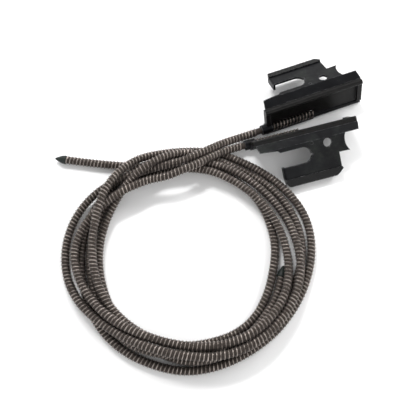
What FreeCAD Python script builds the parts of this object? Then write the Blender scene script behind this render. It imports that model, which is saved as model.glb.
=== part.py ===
import FreeCAD, Part
import math
import os

# Handed pair of sunroof drive cables, coiled up as they are sold.
#
# Each cable is a steel core with a helical drive wire and flock between the
# turns.  One end is crimped into a pressed steel bracket, the other end carries
# a pointed tip.  Row frame: +X right, +Y back, +Z up, Z = 0 is the surface that
# the pair lies on, origin under the middle of the two brackets.  Millimetres.

Vec = FreeCAD.Vector

# ---------------------------------------------------------------- cable sizes
CABLE_D = 6.0                      # over the flock and the drive wire
CABLE_R = CABLE_D / 2
TIP_LENGTH = 8.0
TIP_POINT_R = 0.7
FERRULE_R = 3.45
FERRULE_FROM = -3.4                # along the bracket, 0 is its cable-side end
FERRULE_TO = 4.2
CLAMPED_TO = 36.0                  # the cable ends here inside the channel
TWIST_GAP = 0.3                    # clearance where a lead meets its ferrule

# -------------------------------------------------------------- bracket sizes
# Bracket frame: X along the cable, Y across towards the arm, Z up from the
# cable axis to the plate.  The cable axis is Y = 0, Z = 0.
BRACKET_LENGTH = 73.0
SHEET = 1.5
PLATE_TOP = 20.5
PLATE_EDGE_Y = 5.5                 # where the plate bends down into the band
BAND_OUT_Y = 0.6                   # where the band meets the channel wall
BAND_DROP = 3.8
WALL_FOOT_Z = 2.0                  # foot of the wall over the cable
TROUGH_R = 4.2                     # outside of the trough round the cable
HEM_R = 1.75                       # rolled lip beyond the end of the cable
HEM_Z = HEM_R - TROUGH_R + 0.1
TROUGH_LIP_Z = -2.4                # the trough is open above this on its outer side
TROUGH_MOUTH_Y = -1.2              # and stops at this Y underneath
END_GAP = 0.2                      # between the cable's cut end and the hem
NOSE_X = 1.8                       # the plate starts here, behind the bevel
NOSE_BEVEL_FOOT_Y = -3.0
TAIL_BEVEL_X, TAIL_BEVEL_FOOT_Y, TAIL_BEVEL_TOP_Y = 71.0, 1.5, 7.0
SHOULDER_X, SHOULDER_Y = 13.8, 6.9
SLOT_MOUTH_X = 15.4

ARM_FROM, ARM_TO = 16.6, 55.3      # arm, along the cable
ARM_STEEL_Y = 31.7
ARM_OUT_Y = 33.2
ARM_CHAMFER = 4.6
END_FLANGE_DROP = 5.2

SLOT_NEAR_Y, SLOT_FAR_Y = 8.4, 19.0
SLOT_R = (SLOT_FAR_Y - SLOT_NEAR_Y) / 2
SLOT_END = 36.0
NOTCH_FROM, NOTCH_TO = 34.4, 36.9  # small step at the closed end of the slot
NOTCH_Y, NOTCH_W = 13.7, 1.3

TAB_TO = 63.0
TAB_Y = 17.4
TAB_RISE = 0.3
TAB_SIDE_MID = (60.6, 11.4)        # the hollow side of the tab passes through here
PLATE_BACK_X = 61.8
HOLE_X, HOLE_Y, HOLE_R = 48.4, 9.1, 2.9
DIMPLE_X, DIMPLE_Y, DIMPLE_R = 37.7, 6.9, 1.2

# ------------------------------------------------ plastic liner and arm shoe
LINER_SKIN = 0.9
LINER_RIB_TOP = 16.4
LINER_RIB_H = 3.6
LINER_RIB_OUT = -3.0               # outermost Y of the rib
LINER_BORDER_OUT = -2.3
LINER_BORDER_W = 3.4
LINER_LUG_R = 1.2
LINER_LUGS_X = (12.0, 36.0, 62.0)
LINER_LUG_Z = 9.0
LINER_GAP = 0.2                    # above the ferrule and the hem

SHOE_INNER_Y = 27.2
SHOE_ABOVE = 0.9
SHOE_BELOW = 3.5
SHOE_ROUND = 2.6
SHOE_CORNER = 4.5
SHOE_END_X = 55.9
SHOE_INNER_END_X = 54.9

JOIN = 0.01                        # walls of one sheet overlap this much before they are fused
OVERSIZE = 1.0                     # cutting tools reach this far past what they cut

# ------------------------------------------------------------- coil and leads
COIL_CENTRE = (-80.7, -92.0)
# Outer radius every 30 degrees: the turns lie loosely and bulge at the left and the right.
COIL_OUT_R = (82.5, 79.5, 70.5, 71.0, 70.5, 70.0, 81.5, 75.0, 76.5, 75.5, 77.5, 79.0)
COIL_IN_CENTRE = (-80.0, -95.0)
COIL_IN_R = 57.0
COIL_HEIGHT = 12.0
COIL_ROUND = 4.5

# Where each cable enters its bracket, how far the bracket is turned from +X and
# how far its arm side is rolled down.
LEFT_ENTRY, LEFT_YAW, LEFT_ROLL = Vec(-26.4, -4.6, TROUGH_R), 20.6, 22.5
RIGHT_ENTRY, RIGHT_YAW, RIGHT_ROLL = Vec(-38.4, -16.8, TROUGH_R), 15.6, 31.5

# The loose stretches of cable.  The leads' points come from a numerical search that kept the
# bends wide and the cables apart: the right lead's as found, the left lead's moved by hand
# afterwards.  The free end's points were chosen by hand.
LEFT_LEAD = [(-83.6, -33.6, 13.4), (-71.0, -26.9, 12.6), (-56.5, -17.2, 7.6), (-42.2, -10.5, 4.2)]
RIGHT_LEAD = [(-94.6, -45.8, 13.6), (-84.4, -41.0, 15.0), (-74.3, -36.0, 12.7), (-62.8, -27.1, 5.4),
              (-49.9, -20.0, 4.2)]
FREE_END = [(-112.0, -33.5, 3.0), (-127.0, -32.6, 3.0), (-146.5, -30.9, 3.0), (-165.0, -28.2, 3.0)]
HIDDEN_TIP_AT, HIDDEN_TIP_YAW = Vec(-20.4, -111.2, CABLE_R), 78.4
ARC_SHARE = 0.45                   # of the shorter run, taken by the arc at each corner


def box(x0, x1, y0, y1, z0, z1):
    return Part.makeBox(x1 - x0, y1 - y0, z1 - z0, Vec(x0, y0, z0))


def rod(x0, x1, y, z, radius):
    """A round bar along X."""
    return Part.makeCylinder(radius, x1 - x0, Vec(x0, y, z), Vec(1, 0, 0))


def upright(x, y, z0, z1, radius):
    """A round bar along Z."""
    return Part.makeCylinder(radius, z1 - z0, Vec(x, y, z0), Vec(0, 0, 1))


def prism_along_x(points, x0, x1):
    """A closed outline given as (y, z) points, drawn out along X."""
    wire = Part.makePolygon([Vec(x0, y, z) for y, z in points + points[:1]])
    return Part.Face(wire).extrude(Vec(x1 - x0, 0, 0))


def fused(shapes):
    return shapes[0].multiFuse(shapes[1:]).removeSplitter()


# ------------------------------------------------------------------ the bracket
def plate_outline():
    """Outline of the flat plate: bevelled nose, J-shaped slot, arm and tab."""
    slot_centre_x = SLOT_END - SLOT_R
    slot_mid_y = (SLOT_NEAR_Y + SLOT_FAR_Y) / 2
    nose = [Vec(NOSE_X, PLATE_EDGE_Y, 0), Vec(SHOULDER_X, SHOULDER_Y, 0),
            Vec(SLOT_MOUTH_X, SLOT_NEAR_Y, 0), Vec(slot_centre_x, SLOT_NEAR_Y, 0)]
    slot_far = Vec(slot_centre_x, SLOT_FAR_Y, 0)
    arm = [slot_far, Vec(ARM_FROM, SLOT_FAR_Y, 0), Vec(ARM_FROM, ARM_STEEL_Y, 0),
           Vec(ARM_TO - ARM_CHAMFER * 0.8, ARM_STEEL_Y, 0), Vec(ARM_TO, ARM_OUT_Y - ARM_CHAMFER, 0),
           Vec(ARM_TO, TAB_Y, 0), Vec(TAB_TO, TAB_Y + TAB_RISE, 0)]
    back = [Vec(PLATE_BACK_X, PLATE_EDGE_Y, 0), nose[0]]
    edges = [Part.LineSegment(a, b).toShape() for a, b in zip(nose, nose[1:])]
    edges.append(Part.Arc(nose[-1], Vec(SLOT_END, slot_mid_y, 0), slot_far).toShape())
    edges += [Part.LineSegment(a, b).toShape() for a, b in zip(arm, arm[1:])]
    edges.append(Part.Arc(arm[-1], Vec(*TAB_SIDE_MID, 0), back[0]).toShape())
    edges.append(Part.LineSegment(back[0], back[1]).toShape())
    return Part.Wire(edges)


def plate():
    flat = Part.Face(plate_outline()).extrude(Vec(0, 0, SHEET))
    flat.translate(Vec(0, 0, PLATE_TOP - SHEET))
    low, high = PLATE_TOP - SHEET - OVERSIZE, PLATE_TOP + OVERSIZE
    notch = box(NOTCH_FROM, NOTCH_TO, NOTCH_Y, NOTCH_Y + NOTCH_W, low, high)
    return flat.cut(upright(HOLE_X, HOLE_Y, low, high, HOLE_R)).cut(notch)


def arm_end_flange():
    """The free end of the arm, turned down over a small radius."""
    top, foot = PLATE_TOP, PLATE_TOP - END_FLANGE_DROP
    blade = box(ARM_FROM - SHEET, ARM_FROM, SLOT_FAR_Y, SHOE_INNER_Y, foot, top - SHEET)
    bend = Part.makeCylinder(SHEET, SHOE_INNER_Y - SLOT_FAR_Y,
                             Vec(ARM_FROM, SLOT_FAR_Y, top - SHEET), Vec(0, 1, 0))
    corner = box(ARM_FROM - SHEET, ARM_FROM, SLOT_FAR_Y, SHOE_INNER_Y, top - SHEET, top)
    return fused([blade, bend.common(corner)])


def end_bevel(end_x, past_x, foot_y, corner_x, top_y):
    """A wedge that trims one end of the band to a slanting line."""
    outline = [Vec(end_x, foot_y, 0), Vec(past_x, foot_y, 0), Vec(past_x, top_y, 0),
               Vec(corner_x, top_y, 0), Vec(end_x, foot_y, 0)]
    return Part.Face(Part.makePolygon(outline)).extrude(Vec(0, 0, PLATE_TOP + OVERSIZE))


def band():
    """The strip that slopes from the plate down to the channel wall."""
    foot = PLATE_TOP - BAND_DROP
    edge = PLATE_EDGE_Y + JOIN
    profile = [(edge, PLATE_TOP), (BAND_OUT_Y, foot), (BAND_OUT_Y, foot - SHEET),
               (BAND_OUT_Y + SHEET, foot - SHEET), (edge, PLATE_TOP - SHEET)]
    strip = prism_along_x(profile, 0, BRACKET_LENGTH)
    strip = strip.cut(end_bevel(0, -OVERSIZE, NOSE_BEVEL_FOOT_Y, NOSE_X, edge))
    return strip.cut(end_bevel(BRACKET_LENGTH, BRACKET_LENGTH + OVERSIZE, TAIL_BEVEL_FOOT_Y,
                               TAIL_BEVEL_X, TAIL_BEVEL_TOP_Y))


def channel_wall():
    """Upright wall, with the trough that grips the cable and the lip beyond it."""
    top = PLATE_TOP - BAND_DROP - SHEET + JOIN
    inner_y, hem_from = BAND_OUT_Y + SHEET, CLAMPED_TO + END_GAP
    over_cable = box(0, hem_from, BAND_OUT_Y, inner_y, WALL_FOOT_Z, top)
    beyond = box(hem_from, BRACKET_LENGTH, BAND_OUT_Y, inner_y, HEM_Z, top)
    hem = rod(hem_from, BRACKET_LENGTH, BAND_OUT_Y, HEM_Z, HEM_R)
    trough = rod(0, CLAMPED_TO, 0, 0, TROUGH_R)
    past, above = TROUGH_R + OVERSIZE, TROUGH_R + OVERSIZE
    open_side = box(-OVERSIZE, CLAMPED_TO + OVERSIZE, -past, BAND_OUT_Y, TROUGH_LIP_Z, above)
    mouth = box(-OVERSIZE, CLAMPED_TO + OVERSIZE, -past, TROUGH_MOUTH_Y, -past, above)
    trough = trough.cut(open_side).cut(mouth)
    wall = fused([over_cable, beyond, hem, trough])
    wall = wall.cut(rod(-OVERSIZE, hem_from, 0, 0, CABLE_R))
    return wall.cut(rod(-OVERSIZE, FERRULE_TO, 0, 0, FERRULE_R))


def liner_lugs():
    from_y = BAND_OUT_Y - LINER_SKIN / 2
    return [Part.makeCylinder(LINER_LUG_R, SHEET + LINER_SKIN, Vec(x, from_y, LINER_LUG_Z),
                              Vec(0, 1, 0)) for x in LINER_LUGS_X]


def bracket():
    dimple = Part.makeSphere(DIMPLE_R, Vec(DIMPLE_X, DIMPLE_Y, PLATE_TOP - DIMPLE_R / 2))
    steel = fused([plate(), arm_end_flange(), band(), channel_wall(), dimple])
    for lug in liner_lugs():
        steel = steel.cut(lug)
    return steel


def channel_liner():
    """Plastic slide liner on the outer face of the channel wall."""
    face, skin = BAND_OUT_Y, BAND_OUT_Y - LINER_SKIN
    foot_over_cable, foot_beyond = FERRULE_R + LINER_GAP, HEM_Z + HEM_R + LINER_GAP / 2
    rib_low = LINER_RIB_TOP - LINER_RIB_H
    nose_r = LINER_RIB_H / 2
    step_x, pan_top = CLAMPED_TO + 0.5, rib_low + nose_r
    pan = [box(0, step_x, skin, face, foot_over_cable, pan_top),
           box(step_x, BRACKET_LENGTH, skin, face, foot_beyond, pan_top)]
    rib = [box(0, BRACKET_LENGTH, LINER_RIB_OUT + nose_r, face, rib_low, LINER_RIB_TOP),
           rod(0, BRACKET_LENGTH, LINER_RIB_OUT + nose_r, rib_low + nose_r, nose_r)]
    length, wide = BRACKET_LENGTH, LINER_BORDER_W
    borders = [box(0, wide, LINER_BORDER_OUT, face, foot_over_cable, pan_top),
               box(length - wide, length, LINER_BORDER_OUT, face, foot_beyond, pan_top)]
    return fused(pan + rib + borders + liner_lugs())


def shoe_outline():
    """Plan of the shoe: one rounded corner, one bevelled corner."""
    x0, y0, y1, c = ARM_FROM - SHEET, SHOE_INNER_Y - OVERSIZE, ARM_OUT_Y, SHOE_CORNER
    inset = c * (1 - math.sqrt(0.5))
    rounded = Part.Arc(Vec(x0, y1 - c, 0), Vec(x0 + inset, y1 - inset, 0), Vec(x0 + c, y1, 0))
    corners = [Vec(x0 + c, y1, 0), Vec(ARM_TO - ARM_CHAMFER, y1, 0),
               Vec(SHOE_END_X, y1 - ARM_CHAMFER, 0), Vec(SHOE_INNER_END_X, y0, 0),
               Vec(x0, y0, 0), Vec(x0, y1 - c, 0)]
    sides = [Part.LineSegment(a, b).toShape() for a, b in zip(corners, corners[1:])]
    return Part.Wire([rounded.toShape()] + sides)


def arm_shoe(steel):
    """Plastic shoe clipped over the outer edge of the arm."""
    low, high = PLATE_TOP - SHEET - SHOE_BELOW, PLATE_TOP + SHOE_ABOVE
    bar = box(ARM_FROM - SHEET, ARM_TO + OVERSIZE, SHOE_INNER_Y, ARM_OUT_Y, low, high)
    outer_edges = [e for e in bar.Edges
                   if abs(e.CenterOfMass.y - ARM_OUT_Y) < JOIN and e.BoundBox.XLength > SHEET]
    bar = bar.makeFillet(SHOE_ROUND, outer_edges)
    plan = Part.Face(shoe_outline()).extrude(Vec(0, 0, high + OVERSIZE))
    return bar.common(plan).cut(steel)


def cable_ferrule():
    sleeve = rod(FERRULE_FROM, FERRULE_TO, 0, 0, FERRULE_R)
    return sleeve.cut(rod(FERRULE_FROM - OVERSIZE, FERRULE_TO + OVERSIZE, 0, 0, CABLE_R))


def clamped_cable():
    return rod(FERRULE_FROM, CLAMPED_TO, 0, 0, CABLE_R)


def placed(shape, hand, entry, yaw, roll):
    """Set a bracket-frame shape down: hand is +1 with the arm to +Y, -1 to -Y."""
    if hand < 0:
        shape = shape.mirror(Vec(0, 0, 0), Vec(0, 1, 0))
    shape = shape.copy()
    shape.rotate(Vec(0, 0, 0), Vec(1, 0, 0), -hand * roll)
    shape.rotate(Vec(0, 0, 0), Vec(0, 0, 1), yaw)
    shape.translate(entry)
    return shape


# ------------------------------------------------------------ the loose cables
def axis_of(yaw):
    return Vec(math.cos(math.radians(yaw)), math.sin(math.radians(yaw)), 0)


def cable_tube(name, points):
    """A tube of straight runs joined by tangent arcs, swept along its route."""
    corners = [Vec(*p) for p in points]
    edges, start, radii = [], corners[0], []
    for before, corner, after in zip(corners, corners[1:], corners[2:]):
        back, ahead = before - corner, after - corner
        turn = math.pi - back.getAngle(ahead)
        cut = ARC_SHARE * min(back.Length, ahead.Length)
        radius = cut / math.tan(turn / 2)
        radii.append(radius)
        back.normalize()
        ahead.normalize()
        enter, leave = corner + back * cut, corner + ahead * cut
        inward = back + ahead
        inward.normalize()
        centre = corner + inward * (radius / math.cos(turn / 2))
        middle = centre - inward * radius
        edges.append(Part.LineSegment(start, enter).toShape())
        edges.append(Part.Arc(enter, middle, leave).toShape())
        start = leave
    edges.append(Part.LineSegment(start, corners[-1]).toShape())
    path = Part.Wire(edges)
    section = Part.Wire(Part.makeCircle(CABLE_R, corners[0], corners[1] - corners[0]))
    tube = path.makePipeShell([section], True, False)
    expected = math.pi * CABLE_R ** 2 * path.Length
    print(name, "arc radii", [round(r, 1) for r in radii], "length", round(path.Length, 1),
          "volume ratio", round(tube.Volume / expected, 4))
    return tube


def lead(name, points, entry, yaw):
    """The stretch from the coil to a ferrule, straight over its last part."""
    back = axis_of(yaw)
    end = entry + back * (FERRULE_FROM - TWIST_GAP)
    return cable_tube(name, points + [tuple(end)])


def coil():
    """Outer shape of the wound turns: an uneven ring with rounded edges."""
    step = 2 * math.pi / len(COIL_OUT_R)
    rim = Part.BSplineCurve()
    rim.interpolate([Vec(COIL_CENTRE[0] + r * math.cos(i * step), COIL_CENTRE[1] + r * math.sin(i * step), 0)
                     for i, r in enumerate(COIL_OUT_R)], PeriodicFlag=True)
    ring = Part.Face(Part.Wire(rim.toShape())).extrude(Vec(0, 0, COIL_HEIGHT))
    ring = ring.makeFillet(COIL_ROUND, [e for e in ring.Edges if e.BoundBox.ZLength < JOIN])
    hole_foot = Vec(COIL_IN_CENTRE[0], COIL_IN_CENTRE[1], -OVERSIZE)
    hole = Part.makeCylinder(COIL_IN_R, COIL_HEIGHT + 2 * OVERSIZE, hole_foot)
    return ring.cut(hole)


def tip():
    """Pointed end cap, along X from the end of the cable."""
    cone = Part.makeCone(CABLE_R, TIP_POINT_R, TIP_LENGTH - TIP_POINT_R, Vec(0, 0, 0), Vec(1, 0, 0))
    point = Part.makeSphere(TIP_POINT_R, Vec(TIP_LENGTH - TIP_POINT_R, 0, 0))
    return cone.fuse(point).removeSplitter()


def placed_tip(at, yaw):
    shape = tip()
    shape.rotate(Vec(0, 0, 0), Vec(0, 0, 1), yaw)
    shape.translate(at)
    return shape


# ------------------------------------------------------------------- all nodes
def build():
    nodes = {}
    steel = bracket()
    local = {"bracket": steel, "channel_liner": channel_liner(), "arm_shoe": arm_shoe(steel),
             "cable_ferrule": cable_ferrule(), "clamped_cable": clamped_cable()}
    sides = (("left", 1, LEFT_ENTRY, LEFT_YAW, LEFT_ROLL, LEFT_LEAD),
             ("right", -1, RIGHT_ENTRY, RIGHT_YAW, RIGHT_ROLL, RIGHT_LEAD))
    for side, hand, entry, yaw, roll, points in sides:
        for piece, shape in local.items():
            nodes[side + "_" + piece] = placed(shape, hand, entry, yaw, roll)
        nodes[side + "_cable_lead"] = lead(side + "_cable_lead", points, entry, yaw)
    nodes["cable_coil"] = coil()
    nodes["free_cable_end"] = cable_tube("free_cable_end", FREE_END)
    last, before = Vec(*FREE_END[-1]), Vec(*FREE_END[-2])
    heading = math.degrees(math.atan2(last.y - before.y, last.x - before.x))
    nodes["free_end_tip"] = placed_tip(last, heading)
    nodes["coiled_end_tip"] = placed_tip(HIDDEN_TIP_AT, HIDDEN_TIP_YAW)
    return nodes


def main():
    os.makedirs("parts", exist_ok=True)
    for name, shape in build().items():
        if not shape.isValid() or len(shape.Solids) != 1:
            print("CHECK", name, shape.isValid(), len(shape.Solids))
        shape.exportStep("parts/" + name + ".step")
        b = shape.BoundBox
        print("%-22s vol %8.1f  x %.1f..%.1f  y %.1f..%.1f  z %.2f..%.2f"
              % (name, shape.Volume, b.XMin, b.XMax, b.YMin, b.YMax, b.ZMin, b.ZMax))


main()
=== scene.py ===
import bpy
import math
import numpy as np
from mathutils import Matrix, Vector


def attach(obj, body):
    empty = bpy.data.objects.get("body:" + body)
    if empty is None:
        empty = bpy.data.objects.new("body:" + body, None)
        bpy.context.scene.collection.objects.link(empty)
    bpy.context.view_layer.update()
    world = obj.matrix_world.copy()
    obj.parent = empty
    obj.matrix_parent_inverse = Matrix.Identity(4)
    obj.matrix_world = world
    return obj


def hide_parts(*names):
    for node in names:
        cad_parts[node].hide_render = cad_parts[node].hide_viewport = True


# Looks of a handed pair of sunroof drive cables: flocked cables with a wound
# drive wire, coiled together, and the pressed brackets crimped to their ends.
# Metres, in the frame of the CAD model.

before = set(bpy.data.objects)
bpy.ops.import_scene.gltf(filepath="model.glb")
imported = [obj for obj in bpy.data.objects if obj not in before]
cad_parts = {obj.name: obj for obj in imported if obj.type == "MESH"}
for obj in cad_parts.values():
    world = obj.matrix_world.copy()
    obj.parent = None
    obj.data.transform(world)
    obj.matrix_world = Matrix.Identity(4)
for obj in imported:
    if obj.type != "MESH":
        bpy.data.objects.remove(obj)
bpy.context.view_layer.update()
MM = 0.001

# ---------------------------------------------------------------- the cables
CABLE_D = 6.0 * MM
FLOCK_R = 2.3 * MM
WIRE_R = 0.37 * MM
WIRE_HELIX_R = CABLE_D / 2 - WIRE_R
YARN_R = 0.75 * MM
YARN_HELIX_R = 1.95 * MM
PITCH = 2.45 * MM
WIRE_SIDES, WIRE_RINGS_PER_TURN = 6, 12
YARN_SIDES, YARN_RINGS_PER_TURN = 5, 8

# A tip's outline: share of its length from the cable, and share of the cable's radius.
TIP_LENGTH, TIP_SIDES = 8.0 * MM, 28
TIP_OUTLINE = [(0.0, 0.86), (0.02, 0.97), (0.10, 1.0), (0.20, 0.99), (0.24, 0.93), (0.29, 0.93),
               (0.34, 0.94), (0.50, 0.78), (0.66, 0.60), (0.82, 0.41), (0.93, 0.26), (0.985, 0.15),
               (1.0, 0.04)]

# Where each cable enters its bracket, and how far the bracket is turned.
LEFT_ENTRY, LEFT_YAW = Vector((-0.0264, -0.0046, 0.0042)), math.radians(20.6)
RIGHT_ENTRY, RIGHT_YAW = Vector((-0.0384, -0.0168, 0.0042)), math.radians(15.6)
FERRULE_FROM = -3.4 * MM           # along the bracket, from the cable's entry
CLAMPED_TO = 36.0 * MM
CLAMPED_POINTS = 9
TWIST_GAP = 0.3 * MM               # between the turning stub and the lead
STRAND_INSET = 1.5 * MM            # keeps the strands of the turning stub off the lead's

# The loose stretches, from the bracket to the coil and from the coil to the tip.
LEFT_LEAD = [(-0.0422, -0.0105, 0.0042), (-0.0565, -0.0172, 0.0076), (-0.0710, -0.0269, 0.0126),
             (-0.0836, -0.0336, 0.0134)]
RIGHT_LEAD = [(-0.0499, -0.0200, 0.0052), (-0.0628, -0.0271, 0.0090), (-0.0743, -0.0360, 0.0137),
              (-0.0844, -0.0410, 0.0152), (-0.0946, -0.0458, 0.0142)]
FREE_END = [(-0.0960, -0.0336, 0.0030), (-0.1120, -0.0335, 0.0030), (-0.1270, -0.0326, 0.0030),
            (-0.1465, -0.0309, 0.0030), (-0.1650, -0.0282, 0.0030)]
COILED_END = [(-0.0213, -0.1155, 0.0030), (-0.0204, -0.1112, 0.0030)]

# The turns: radius and height of a cable's middle, in mm, every 30 degrees round
# COIL_CENTRE, counter-clockwise from the leads.  One row is one turn.
COIL_CENTRE = (-0.0807, -0.0920)
KEY_STEP, FINE_STEP, CONTROL_EVERY = 30, 5, 3
LEFT_START, RIGHT_START = 105, 120
LEFT_RADII = (58.3, 66.0, 77.5, 78.3, 69.0, 66.5, 71.0, 73.5, 75.0, 69.0, 63.0, 64.0,
              64.5, 65.5, 67.5, 67.0, 69.5, 72.0, 73.0, 74.0, 78.0, 81.0, 72.5, 66.5,
              66.5, 65.3, 61.0, 61.5, 64.5, 65.5, 67.0, 66.5, 62.0, 59.5, 60.0, 60.0)
LEFT_HEIGHTS = (12.5, 8.2, 3.0, 3.0, 8.2, 13.2, 13.4, 13.0, 8.4, 8.4, 8.4, 7.0,
                9.0, 6.0, 3.0, 3.0, 3.0, 3.0, 3.0, 3.0, 4.0, 5.0, 4.0, 3.0,
                6.0, 13.0, 13.4, 13.4, 9.5, 8.2, 3.0, 3.0, 3.0, 3.0, 3.0, 3.0)
RIGHT_RADII = (53.0, 62.0, 71.0, 67.5, 63.0, 64.8, 70.0, 70.5, 63.5, 58.2, 57.6, 61.0,
               60.5, 61.5, 63.5, 66.0, 69.0, 69.3, 69.8, 70.8, 75.4, 73.2, 67.0, 65.0,
               60.2, 60.8, 63.0, 65.0, 67.0, 70.0, 69.5, 65.4)
RIGHT_HEIGHTS = (11.0, 10.0, 3.5, 7.0, 13.0, 13.4, 14.0, 13.0, 8.5, 8.5, 8.5, 9.0,
                 8.0, 7.0, 8.2, 6.5, 5.0, 8.0, 8.2, 6.0, 3.0, 3.0, 3.0, 8.0,
                 13.0, 8.0, 3.0, 3.0, 3.0, 8.2, 8.2, 3.0)

# How the turns settle on each other.
SETTLE_ROUNDS = 400
SINK_ROUNDS = 340                  # the turns sink only in these first rounds
SINK = 0.04 * MM                   # a round
PUSH_KEPT = np.array([0.2, 0.2, 0.25])   # share of each push that moves a turn, in x, y and z
SHIFT_KEPT = 0.994                 # share of its shift in the plan that a turn keeps each round
OWN_NEIGHBOURS = 6                 # points along a cable that don't push each other
REACH = 4.0 * MM                   # how far ahead along a turn another one still touches it
LEAST_GAP = 0.3 * MM               # keeps the push finite where two middle lines meet
OWN_WEIGHT = 6                     # a point's own shift against one neighbour's, in easing


def axis_of(yaw):
    return Vector((math.cos(yaw), math.sin(yaw), 0))


def collect(obj):
    bpy.context.scene.collection.objects.link(obj)
    return obj


def mesh_object(name, verts, faces, smooth=True):
    mesh = bpy.data.meshes.new(name)
    mesh.from_pydata(verts, [], faces)
    if smooth:
        mesh.polygons.foreach_set("use_smooth", [True] * len(mesh.polygons))
    mesh.update()
    return collect(bpy.data.objects.new(name, mesh))


# --------------------------------------------------------------------- camera
CAMERA_AT = Vector((-0.0672, -0.1971, 0.3561))
CAMERA_LOOKS_AT = Vector((-0.0672, -0.0625, 0.0))
CAMERA_LENS, CAMERA_SENSOR, CAMERA_CLIP = 48.8, 36, 0.01

camera_data = bpy.data.cameras.new("camera")
camera_data.lens = CAMERA_LENS
camera_data.sensor_width = CAMERA_SENSOR
camera_data.clip_start = CAMERA_CLIP
camera = collect(bpy.data.objects.new("camera", camera_data))
camera.location = CAMERA_AT
camera.rotation_euler = (CAMERA_LOOKS_AT - CAMERA_AT).to_track_quat("-Z", "Y").to_euler()
bpy.context.scene.camera = camera


# ----------------------------------------------------- laying out the turns
def between_keys(keys, start):
    """Angles every FINE_STEP degrees, and the keys drawn through them smoothly."""
    keys = np.array(keys)
    turned = np.arange(0, (len(keys) - 1) * KEY_STEP + 1, FINE_STEP)
    slope = np.gradient(keys, KEY_STEP)
    i = np.minimum(turned // KEY_STEP, len(keys) - 2)
    t = (turned - i * KEY_STEP) / KEY_STEP
    value = ((2 * t ** 3 - 3 * t ** 2 + 1) * keys[i] + (3 * t ** 2 - 2 * t ** 3) * keys[i + 1]
             + KEY_STEP * ((t ** 3 - 2 * t ** 2 + t) * slope[i] + (t ** 3 - t ** 2) * slope[i + 1]))
    return np.radians(start + turned), value


def turns(radii, heights, start):
    """The middle line of a cable's turns, as its keys give it, before it settles."""
    angle, radius = between_keys(radii, start)
    height = np.maximum(between_keys(heights, start)[1] * MM, CABLE_D / 2)
    return np.column_stack([COIL_CENTRE[0] + radius * MM * np.cos(angle),
                            COIL_CENTRE[1] + radius * MM * np.sin(angle), height])


def spaced(points, step):
    """Points about one step apart along a line."""
    points = np.array(points)
    along = np.r_[0, np.cumsum(np.linalg.norm(np.diff(points, axis=0), axis=1))]
    at = np.linspace(0, along[-1], max(int(along[-1] / step), 1) + 1)
    return np.column_stack([np.interp(at, along, points[:, k]) for k in range(3)])


def settle(lines, held):
    """Turns that lie in each other are pushed apart until they rest side by side
    or on top of each other, none of them below the floor."""
    ends = np.cumsum([0] + [len(line) for line in lines])
    place, home = np.vstack(lines), np.vstack(lines)
    spans = list(zip(ends, ends[1:]))
    cable = np.concatenate([np.full(len(line), n) for n, line in enumerate(lines)])
    index = np.concatenate([np.arange(len(line)) for line in lines])
    same_cable = cable[:, None] == cable[None]
    same_stretch = same_cable & (np.abs(index[:, None] - index[None]) < OWN_NEIGHBOURS)
    free = (~np.concatenate(held)).astype(float)[:, None]
    for step in range(SETTLE_ROUNDS):
        if step < SINK_ROUNDS:
            place[:, 2] -= SINK * free[:, 0]
        along = np.vstack([np.gradient(place[a:b], axis=0) for a, b in spans])
        along /= np.linalg.norm(along, axis=1)[:, None]
        apart = place[:, None] - place[None]
        ahead = (apart * along[None]).sum(2)
        across = apart - ahead[..., None] * along[None]
        gap = np.linalg.norm(across, axis=2)
        touching = (gap < CABLE_D) & (np.abs(ahead) < REACH) & ~same_stretch
        push = across * np.where(touching, (CABLE_D - gap) / np.maximum(gap, LEAST_GAP), 0)[..., None]
        move = (push.sum(1) / np.maximum(touching.sum(1), 1)[:, None]
                - push.sum(0) / np.maximum(touching.sum(0), 1)[:, None])
        place += move * free * PUSH_KEPT
        for a, b in spans:
            shift = place[a:b] - home[a:b]
            eased = shift.copy()
            eased[1:-1] = (shift[:-2] + OWN_WEIGHT * shift[1:-1] + shift[2:]) / (OWN_WEIGHT + 2)
            eased[:, :2] *= SHIFT_KEPT
            place[a:b] = np.where(free[a:b] > 0, home[a:b] + eased, place[a:b])
        place[:, 2] = np.maximum(place[:, 2], CABLE_D / 2)
    return [place[a:b] for a, b in spans]


def nurbs_curve(name, points):
    """One NURBS spline of order 3 that ends at its first and last points."""
    data = bpy.data.curves.new(name, "CURVE")
    data.dimensions = "3D"
    spline = data.splines.new("NURBS")
    spline.points.add(len(points) - 1)
    for point, at in zip(spline.points, points):
        point.co = (at[0], at[1], at[2], 1)
    spline.order_u = 3
    spline.use_endpoint_u = True
    spline.resolution_u = 6
    return collect(bpy.data.objects.new(name, data))


def line_of(name, points):
    """The points that a route's spline passes through, read from a bare curve."""
    bare_metal_and_highlight = nurbs_curve(name, points)
    bpy.context.view_layer.update()
    mesh = bpy.data.meshes.new_from_object(bare_metal_and_highlight.evaluated_get(bpy.context.evaluated_depsgraph_get()))
    line = np.array([v.co[:] for v in mesh.vertices])
    bpy.data.objects.remove(bare_metal_and_highlight)
    bpy.data.meshes.remove(mesh)
    return line


def loose_line(name, points):
    """Where a loose stretch lies, for the turns to rest against."""
    return spaced(line_of(name, points), CABLE_D)


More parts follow.
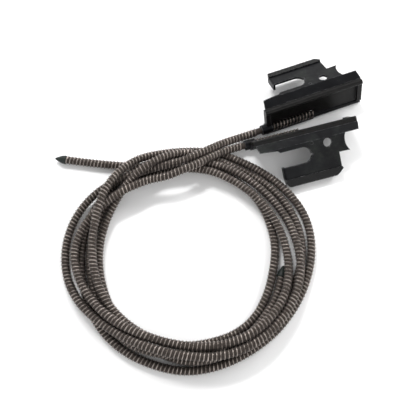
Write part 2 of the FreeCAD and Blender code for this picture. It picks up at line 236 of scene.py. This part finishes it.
def cable_routes():
    """Control points of both cables, from the bracket to the tip.  The loose
    stretches stay where they are; only the turns between them settle."""
    loose_ends = []
    for side, entry, yaw, lead, end in (("left", LEFT_ENTRY, LEFT_YAW, LEFT_LEAD, FREE_END),
                                        ("right", RIGHT_ENTRY, RIGHT_YAW, RIGHT_LEAD, COILED_END)):
        lead = [tuple(entry + axis_of(yaw) * (FERRULE_FROM - TWIST_GAP))] + lead
        loose_ends.append((lead, end, loose_line(side + "_lead_line", lead),
                           loose_line(side + "_end_line", end)))
    wound = [turns(LEFT_RADII, LEFT_HEIGHTS, LEFT_START), turns(RIGHT_RADII, RIGHT_HEIGHTS, RIGHT_START)]
    lines, held = [], []
    for coil, (lead, end, lead_line, end_line) in zip(wound, loose_ends):
        lines.append(np.vstack([lead_line, coil, end_line]))
        held.append(np.r_[np.ones(len(lead_line), bool), np.zeros(len(coil), bool),
                          np.ones(len(end_line), bool)])
    routes = []
    for line, fixed, (lead, end, _, _) in zip(settle(lines, held), held, loose_ends):
        settled = line[~fixed][::CONTROL_EVERY]
        routes.append(np.vstack([lead, settled, end]))
    return routes


left_route, right_route = cable_routes()


def carried_frames(line, step):
    """Evenly spaced points on a line, with a normal carried along without twist."""
    points = spaced(line, step)
    along = np.gradient(points, axis=0)
    along /= np.linalg.norm(along, axis=1)[:, None]
    normals = np.empty_like(points)
    normal = np.cross(along[0], (0, 0, 1.0))
    for i, direction in enumerate(along):
        normal = normal - direction * normal.dot(direction)
        normal /= np.linalg.norm(normal)
        normals[i] = normal
    return points, along, normals, np.cross(along, normals)


def tube_faces(rings, sides):
    """Quads between neighbouring rings, and a cap at each end."""
    a = np.arange((rings - 1) * sides).reshape(rings - 1, sides)
    b = np.roll(a, -1, axis=1)
    quads = np.stack([a, b, b + sides, a + sides], axis=2).reshape(-1, 4).tolist()
    return quads + [list(range(sides))[::-1], list(range((rings - 1) * sides, rings * sides))]


def helix(name, line, helix_r, strand_r, phase, per_turn, sides):
    """A left-handed strand wound round a line, from rings of points."""
    points, along, normals, sideways = carried_frames(line, PITCH / per_turn)
    turn = phase - 2 * math.pi * np.arange(len(points)) / per_turn
    out = normals * np.cos(turn)[:, None] + sideways * np.sin(turn)[:, None]
    centres = points + out * helix_r
    forward = np.gradient(centres, axis=0)
    forward /= np.linalg.norm(forward, axis=1)[:, None]
    across = np.cross(forward, out)
    verts = []
    for k in range(sides):
        a = 2 * math.pi * k / sides
        verts.append(centres + out * strand_r * math.cos(a) + across * strand_r * math.sin(a))
    verts = np.stack(verts, axis=1).reshape(-1, 3)
    return mesh_object(name, verts.tolist(), tube_faces(len(points), sides))


# ------------------------------------------------------------------ materials
EDGE_RADIUS, EDGE_SAMPLES = 0.7 * MM, 6
EDGE_FULL, EDGE_NONE = 0.86, 0.99  # cosine between the flat and the rounded normal
HAIRLINE_STRETCH = 26


def new_material(name):
    material = bpy.data.materials.new(name)
    material.use_nodes = True
    return material, material.node_tree.nodes, material.node_tree.links


def noise(nodes, links, coordinate, scale, detail=4.0, roughness=0.55):
    node = nodes.new("ShaderNodeTexNoise")
    node.inputs["Scale"].default_value = scale
    node.inputs["Detail"].default_value = detail
    node.inputs["Roughness"].default_value = roughness
    links.new(coordinate, node.inputs["Vector"])
    return node.outputs["Fac"]


def ramp(nodes, links, factor, stops):
    node = nodes.new("ShaderNodeValToRGB")
    while len(node.color_ramp.elements) < len(stops):
        node.color_ramp.elements.new(0.5)
    for element, (position, colour) in zip(node.color_ramp.elements, stops):
        element.position = position
        element.color = (*colour, 1)
    links.new(factor, node.inputs["Fac"])
    return node.outputs["Color"]


def mix(nodes, links, factor, first, second):
    node = nodes.new("ShaderNodeMix")
    node.data_type = "RGBA"
    links.new(factor, node.inputs["Factor"])
    links.new(first, node.inputs["A"])
    links.new(second, node.inputs["B"])
    return node.outputs["Result"]


def level(nodes, links, value, low, high, to_low, to_high):
    node = nodes.new("ShaderNodeMapRange")
    for socket, amount in (("From Min", low), ("From Max", high), ("To Min", to_low), ("To Max", to_high)):
        node.inputs[socket].default_value = amount
    links.new(value, node.inputs["Value"])
    return node.outputs["Result"]


def bump(nodes, links, height, distance, strength, normal=None):
    node = nodes.new("ShaderNodeBump")
    node.inputs["Strength"].default_value = strength
    node.inputs["Distance"].default_value = distance
    links.new(height, node.inputs["Height"])
    if normal is not None:
        links.new(normal, node.inputs["Normal"])
    return node.outputs["Normal"]


def rounded_normal(nodes):
    """The surface's normal with its edges rounded."""
    node = nodes.new("ShaderNodeBevel")
    node.samples = EDGE_SAMPLES
    node.inputs["Radius"].default_value = EDGE_RADIUS
    return node.outputs["Normal"]


def edge_mask(nodes, links, rounded):
    """1 along edges, where the rounded normal leaves the flat one, and 0 on the flats."""
    dot = nodes.new("ShaderNodeVectorMath")
    dot.operation = "DOT_PRODUCT"
    links.new(rounded, dot.inputs[0])
    links.new(nodes.new("ShaderNodeNewGeometry").outputs["Normal"], dot.inputs[1])
    return level(nodes, links, dot.outputs["Value"], EDGE_NONE, EDGE_FULL, 0, 1)


def times(nodes, links, first, second):
    node = nodes.new("ShaderNodeMath")
    node.operation = "MULTIPLY"
    links.new(first, node.inputs[0])
    links.new(second, node.inputs[1])
    return node.outputs["Value"]


def scratches(nodes, links, place, yaw):
    """Fine hairlines that run mostly one way."""
    mapping = nodes.new("ShaderNodeMapping")
    mapping.inputs["Rotation"].default_value = (0, 0, -yaw)
    mapping.inputs["Scale"].default_value = (1, HAIRLINE_STRETCH, HAIRLINE_STRETCH)
    links.new(place, mapping.inputs["Vector"])
    return level(nodes, links, noise(nodes, links, mapping.outputs["Vector"], 60, 4, 0.7), 0.62, 0.72, 0, 1)


def coated_steel(name, worn, yaw):
    """Satin black coat with orange peel, rub marks, hairlines, and paler edges that are partly worn coat
    and partly a painted highlight along the rims.
    """
    material, nodes, links = new_material(name)
    shader = nodes["Principled BSDF"]
    place = nodes.new("ShaderNodeTexCoord").outputs["Object"]
    cloud = noise(nodes, links, place, 90, 5)
    base = ramp(nodes, links, cloud, [(0.3, (0.0020, 0.0021, 0.0026)), (0.7, (0.0048, 0.0051, 0.0064))])
    rubbed = level(nodes, links, noise(nodes, links, place, 46, 6, 0.7), 0.56 - worn, 0.74 - worn, 0, 0.7)
    grey = ramp(nodes, links, noise(nodes, links, place, 700, 3),
                [(0.3, (0.007, 0.009, 0.0075)), (0.7, (0.024, 0.027, 0.022))])
    colour = mix(nodes, links, rubbed, base, grey)
    lines = scratches(nodes, links, place, yaw)
    soft = rounded_normal(nodes)
    edge_wear_and_highlight_mask = edge_mask(nodes, links, soft)
    # Paler edges: partly chipped coat and partly a painted highlight along the rims.
    chip_and_rim_highlight_mask = times(nodes, links, edge_wear_and_highlight_mask, level(nodes, links, noise(nodes, links, place, 420, 4),
                                              0.42, 0.60, 0.15, 0.9))
    bare_metal_and_highlight = ramp(nodes, links, cloud, [(0.3, (0.10, 0.10, 0.105)), (0.7, (0.26, 0.26, 0.27))])
    faint = level(nodes, links, lines, 0, 1, 0, 0.10)
    links.new(mix(nodes, links, chip_and_rim_highlight_mask, mix(nodes, links, faint, colour, bare_metal_and_highlight), bare_metal_and_highlight),
              shader.inputs["Base Color"])
    links.new(level(nodes, links, noise(nodes, links, place, 260, 4), 0.3, 0.7, 0.28, 0.46),
              shader.inputs["Roughness"])
    shader.inputs["Specular IOR Level"].default_value = 0.13
    peel = bump(nodes, links, noise(nodes, links, place, 900, 3), 0.03 * MM, 0.5, soft)
    links.new(bump(nodes, links, noise(nodes, links, place, 120, 3), 0.14 * MM, 0.5, peel),
              shader.inputs["Normal"])
    return material


def moulded_plastic(name, dark, light, rough_low, rough_high):
    """Moulded plastic: fine grain, a mottled gloss and slightly paler edges, partly rubbed and partly a
    painted highlight along the rims.
    """
    material, nodes, links = new_material(name)
    shader = nodes["Principled BSDF"]
    place = nodes.new("ShaderNodeTexCoord").outputs["Object"]
    colour = ramp(nodes, links, noise(nodes, links, place, 160, 5), [(0.3, dark), (0.72, light)])
    soft = rounded_normal(nodes)
    # Paler edges: partly rubbed plastic and partly a painted highlight along the rims.
    edge_wear_and_highlight_mask = times(nodes, links, edge_mask(nodes, links, soft),
                 level(nodes, links, noise(nodes, links, place, 300, 4), 0.4, 0.6, 0.2, 0.8))
    pale_edge_and_highlight = ramp(nodes, links, noise(nodes, links, place, 500, 3),
                [(0.3, (0.045, 0.045, 0.047)), (0.7, (0.13, 0.13, 0.135))])
    links.new(mix(nodes, links, edge_wear_and_highlight_mask, colour, pale_edge_and_highlight), shader.inputs["Base Color"])
    links.new(level(nodes, links, noise(nodes, links, place, 300, 4), 0.3, 0.7, rough_low, rough_high),
              shader.inputs["Roughness"])
    shader.inputs["Specular IOR Level"].default_value = 0.18
    links.new(bump(nodes, links, noise(nodes, links, place, 1500, 2), 0.02 * MM, 0.6, soft),
              shader.inputs["Normal"])
    return material


def flock():
    """Short fibres: a rough brown-grey with a soft sheen and a broken surface."""
    material, nodes, links = new_material("cable_flock")
    shader = nodes["Principled BSDF"]
    place = nodes.new("ShaderNodeTexCoord").outputs["Object"]
    fibres = noise(nodes, links, place, 2600, 3, 0.7)
    patches = noise(nodes, links, place, 60, 4)
    fine = ramp(nodes, links, fibres, [(0.3, (0.012, 0.0085, 0.0068)), (0.75, (0.048, 0.036, 0.029))])
    dull = ramp(nodes, links, fibres, [(0.3, (0.020, 0.0148, 0.0120)), (0.75, (0.070, 0.054, 0.044))])
    links.new(mix(nodes, links, patches, fine, dull), shader.inputs["Base Color"])
    shader.inputs["Roughness"].default_value = 0.95
    shader.inputs["Sheen Weight"].default_value = 0.08
    shader.inputs["Sheen Roughness"].default_value = 0.5
    links.new(bump(nodes, links, fibres, 0.15 * MM, 0.9), shader.inputs["Normal"])
    return material


def drawn_wire():
    """Wound steel wire under a thin brown film of oil and lint."""
    material, nodes, links = new_material("drive_wire")
    shader = nodes["Principled BSDF"]
    place = nodes.new("ShaderNodeTexCoord").outputs["Object"]
    patches = noise(nodes, links, place, 170, 6, 0.65)
    links.new(ramp(nodes, links, patches, [(0.32, (0.10, 0.082, 0.072)), (0.68, (0.44, 0.385, 0.35))]),
              shader.inputs["Base Color"])
    links.new(level(nodes, links, noise(nodes, links, place, 900, 3), 0.3, 0.7, 0.22, 0.42),
              shader.inputs["Roughness"])
    shader.inputs["Metallic"].default_value = 0.8
    links.new(bump(nodes, links, noise(nodes, links, place, 2200, 2), 0.03 * MM, 0.6),
              shader.inputs["Normal"])
    return material


STEEL_LEFT = coated_steel("bracket_coat", 0.0, LEFT_YAW)
STEEL_RIGHT = coated_steel("bracket_coat_rubbed", 0.06, RIGHT_YAW)
LINER = moulded_plastic("liner_plastic", (0.0022, 0.0020, 0.0019), (0.0052, 0.0048, 0.0046), 0.30, 0.48)
SHOE = moulded_plastic("shoe_plastic", (0.0020, 0.0020, 0.0021), (0.0045, 0.0045, 0.0047), 0.22, 0.36)
FERRULE = coated_steel("ferrule_coat", -0.2, LEFT_YAW)
# A darker copy of the flock for the cable's end inside its bracket: painted shade of the channel.
STUB_PAINTED_SHADE = moulded_plastic("stub_core_painted_shade", (0.0030, 0.0025, 0.0022), (0.0090, 0.0072, 0.0062), 0.35, 0.55)
TIP = moulded_plastic("tip_plastic", (0.008, 0.011, 0.010), (0.020, 0.025, 0.022), 0.34, 0.5)
FLOCK = flock()
WIRE = drawn_wire()


def paint(obj, material):
    obj.data.materials.clear()
    obj.data.materials.append(material)


def finish_cad_nodes(side, steel):
    """Materials of the bracket's CAD nodes, whose shapes stay as they are."""
    for piece, material in (("bracket", steel), ("channel_liner", LINER), ("arm_shoe", SHOE),
                            ("cable_ferrule", FERRULE)):
        for material_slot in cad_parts[side + "_" + piece].material_slots:
            material_slot.link = "OBJECT"
            material_slot.material = material


finish_cad_nodes("left", STEEL_LEFT)
finish_cad_nodes("right", STEEL_RIGHT)


# -------------------------------------------------------- cables and their tips
def thicken(curve, material):
    """Gives a curve the round section of the cable's flocked core."""
    curve.data.bevel_depth = FLOCK_R
    curve.data.bevel_resolution = 3
    curve.data.use_fill_caps = True
    curve.data.materials.append(material)


def wound_on(name, line, body, yarn_material):
    """The drive wire and the yarn of flock between its turns."""
    wire = helix(name + "_wire", line, WIRE_HELIX_R, WIRE_R, 0, WIRE_RINGS_PER_TURN, WIRE_SIDES)
    yarn = helix(name + "_yarn", line, YARN_HELIX_R, YARN_R, math.pi, YARN_RINGS_PER_TURN, YARN_SIDES)
    paint(wire, WIRE)
    paint(yarn, yarn_material)
    for piece in (wire, yarn):
        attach(piece, body)
    return [wire, yarn]


def pointed_tip(name, node, base, heading):
    """Moulded end cap: a collar over the cable, a groove and a pointed nose."""
    along = Vector((math.cos(heading), math.sin(heading), 0))
    across, up = Vector((-along.y, along.x, 0)), Vector((0, 0, 1))
    verts = []
    for share, wide in TIP_OUTLINE:
        for k in range(TIP_SIDES):
            a = 2 * math.pi * k / TIP_SIDES
            out = across * math.cos(a) + up * math.sin(a)
            verts.append(base + along * (share * TIP_LENGTH) + out * (CABLE_D / 2 * wide))
    tip = mesh_object(name, [tuple(v) for v in verts], tube_faces(len(TIP_OUTLINE), TIP_SIDES))
    paint(tip, TIP)
    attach(tip, "root")
    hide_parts(node)
    return tip


def loose_cable(side, route, nodes, tip_node):
    """The free cable: its core, its wound strands and its tip."""
    cable = nurbs_curve(side + "_cable", route)
    line = line_of(side + "_cable_line", route)
    thicken(cable, FLOCK)
    run = line[-1] - line[-4]
    heading = math.atan2(run[1], run[0])
    tip = pointed_tip(side + "_cable_tip", tip_node, Vector(line[-1]), heading)
    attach(cable, "root")
    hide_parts(*nodes)
    pieces = wound_on(side + "_cable", line[1:], "root", FLOCK)


def clamped_stub(side, entry, yaw):
    """The end of the cable inside its bracket, its core and yarn in a darker material that paints the shade
    of the channel.
    """
    along = np.array(axis_of(yaw))
    line = np.array(entry) + np.outer(np.linspace(FERRULE_FROM, CLAMPED_TO, CLAMPED_POINTS), along)
    core = nurbs_curve(side + "_clamped_core", line)
    thicken(core, STUB_PAINTED_SHADE)
    body = side + "_bracket_body"
    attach(core, body)
    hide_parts(side + "_clamped_cable")
    line[0] += along * STRAND_INSET
    wound_on(side + "_clamped", line, body, STUB_PAINTED_SHADE)


loose_cable("left", left_route, ["left_cable_lead", "cable_coil", "free_cable_end"], "free_end_tip")
loose_cable("right", right_route, ["right_cable_lead", "cable_coil"], "coiled_end_tip")
clamped_stub("left", LEFT_ENTRY, LEFT_YAW)
clamped_stub("right", RIGHT_ENTRY, RIGHT_YAW)


# ---------------------------------------------------------- floor and lights
FLOOR_HALF = 3.0
LIGHTS_AIM_AT = Vector((-0.06, -0.06, 0))


def pale_floor():
    material, nodes, links = new_material("pale_floor")
    shader = nodes["Principled BSDF"]
    place = nodes.new("ShaderNodeTexCoord").outputs["Object"]
    links.new(ramp(nodes, links, noise(nodes, links, place, 8, 3),
                   [(0.3, (0.90, 0.90, 0.90)), (0.7, (0.93, 0.93, 0.93))]), shader.inputs["Base Color"])
    shader.inputs["Roughness"].default_value = 0.9
    corners = [(-1, -1), (1, -1), (1, 1), (-1, 1)]
    floor = mesh_object("floor", [(x * FLOOR_HALF, y * FLOOR_HALF, 0) for x, y in corners],
                        [[0, 1, 2, 3]], smooth=False)
    paint(floor, material)


def softbox(name, at, size, watts):
    data = bpy.data.lights.new(name, "AREA")
    data.shape = "RECTANGLE"
    data.size, data.size_y = size
    data.energy = watts
    light = collect(bpy.data.objects.new(name, data))
    light.location = at
    light.rotation_euler = (LIGHTS_AIM_AT - light.location).to_track_quat("-Z", "Y").to_euler()


def studio():
    """A room that is darker overhead than at its walls, and three soft boxes."""
    world = bpy.data.worlds.new("studio")
    world.use_nodes = True
    nodes, links = world.node_tree.nodes, world.node_tree.links
    direction = nodes.new("ShaderNodeSeparateXYZ")
    links.new(nodes.new("ShaderNodeTexCoord").outputs["Generated"], direction.inputs[0])
    links.new(level(nodes, links, direction.outputs["Z"], 0.10, 0.98, 1.50, 0.40),
              nodes["Background"].inputs["Strength"])
    nodes["Background"].inputs["Color"].default_value = (1, 1, 1, 1)
    bpy.context.scene.world = world
    bpy.context.scene.view_settings.view_transform = "Standard"
    softbox("key", Vector((-0.30, 0.42, 0.62)), (0.36, 0.10), 4.6)
    softbox("rim", Vector((0.45, 0.35, 0.40)), (0.35, 0.10), 2.6)
    softbox("fill", Vector((0.4, -0.6, 0.6)), (0.6, 0.6), 1.2)


pale_floor()
studio()
